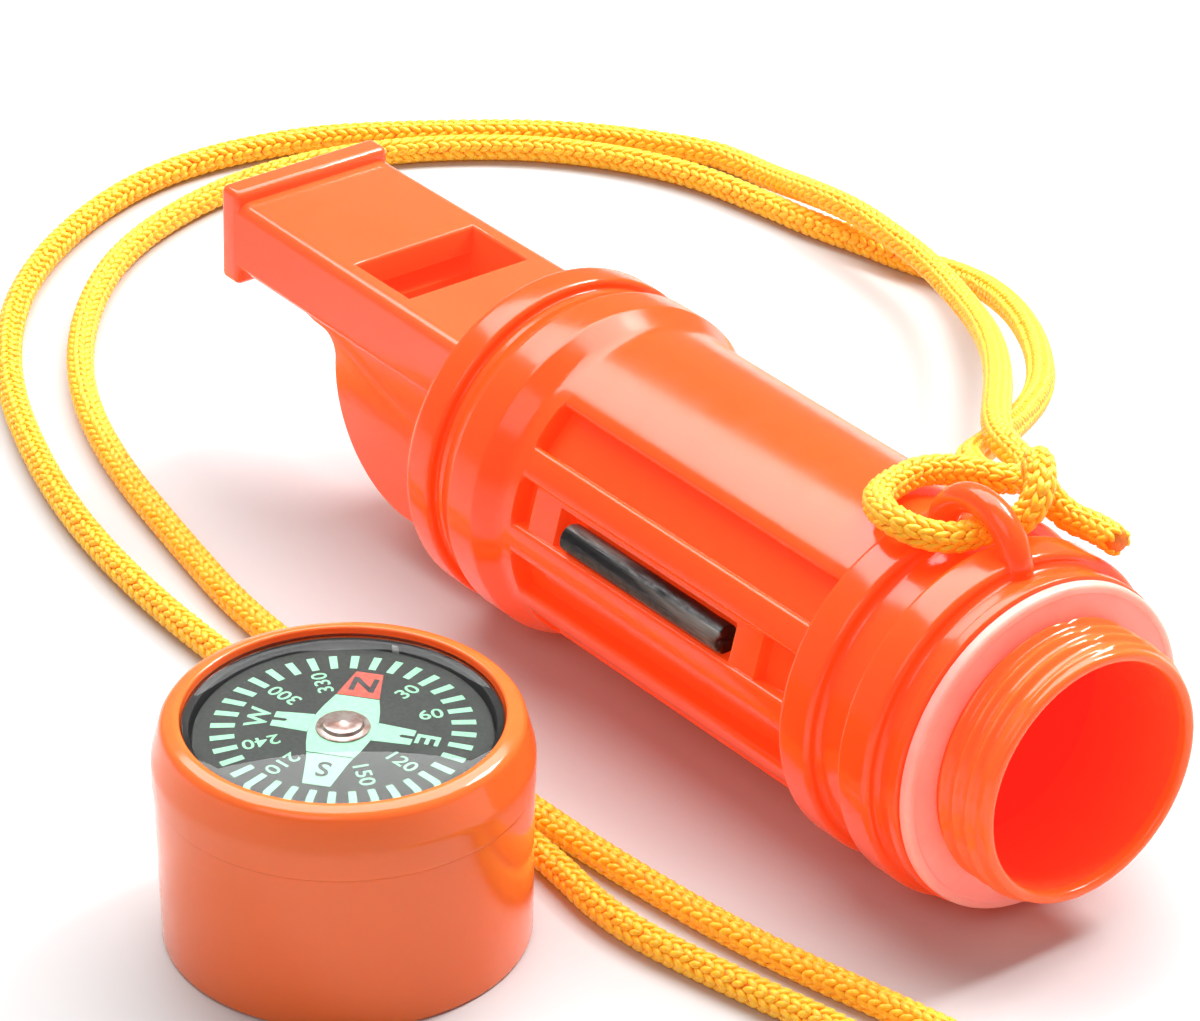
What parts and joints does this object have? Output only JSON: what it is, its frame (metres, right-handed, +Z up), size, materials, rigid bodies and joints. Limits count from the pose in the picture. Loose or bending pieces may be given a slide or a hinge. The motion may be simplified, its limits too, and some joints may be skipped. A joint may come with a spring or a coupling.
{
  "type": "survival whistle",
  "caption": "Small waterproof container with a whistle on its closed end, a fluted barrel holding a ferro rod, a screw cap with a liquid-free compass, and a knitted neck lanyard.",
  "frame": {"origin": "on the surface it lies on, in the middle of the bottle and cap seen from above", "axes": "+X along the bottle towards its open neck, +Z up, the cap on the -Y side"},
  "size_m": [0.1895, 0.1147, 0.0328],
  "materials": {
    "body_plastic": "glossy, slightly translucent orange-red moulding",
    "whistle_plastic": "glossy, slightly translucent orange-red moulding",
    "cap_plastic": "satin orange-red moulding",
    "gasket_silicone": "pinkish translucent silicone",
    "ferro": "black, slightly chipped",
    "mirror": "mirror",
    "capsule": "dark satin",
    "lens": "clear acrylic",
    "card": "dark with mint green print",
    "magnet": "dark sintered",
    "jewel": "clear bearing cup",
    "pivot": "polished needle",
    "cord": "knitted yellow polypropylene"
  },
  "bodies": {
    "bottle": {"container_barrel": "body_plastic", "neck_gasket": "gasket_silicone", "ferro_rod": "ferro", "whistle_body": "whistle_plastic", "chamber_cover": "whistle_plastic", "windway_block": "whistle_plastic", "lanyard_tie": "cord", "lanyard_outer_strand": "cord", "lanyard_bight": "cord", "lanyard_inner_strand": "cord"},
    "cap": {"cap_shell": "cap_plastic", "signal_mirror": "mirror", "compass_cup": "capsule", "compass_lens": "lens", "compass_pivot": "pivot"},
    "card": {"compass_card": "card", "card_magnet": "magnet", "jewel_cap": "jewel"}
  },
  "joints": [
    {"name": "cap_lift", "type": "slide", "parent": "bottle", "child": "cap", "axis": [0, 0, 1], "range_m": [0, 0.06]},
    {"name": "card_turn", "type": "hinge", "parent": "cap", "child": "card", "pos_m": [0.0147, -0.02075, 0.0161], "axis": [0, 0, 1], "continuous": true}
  ]
}
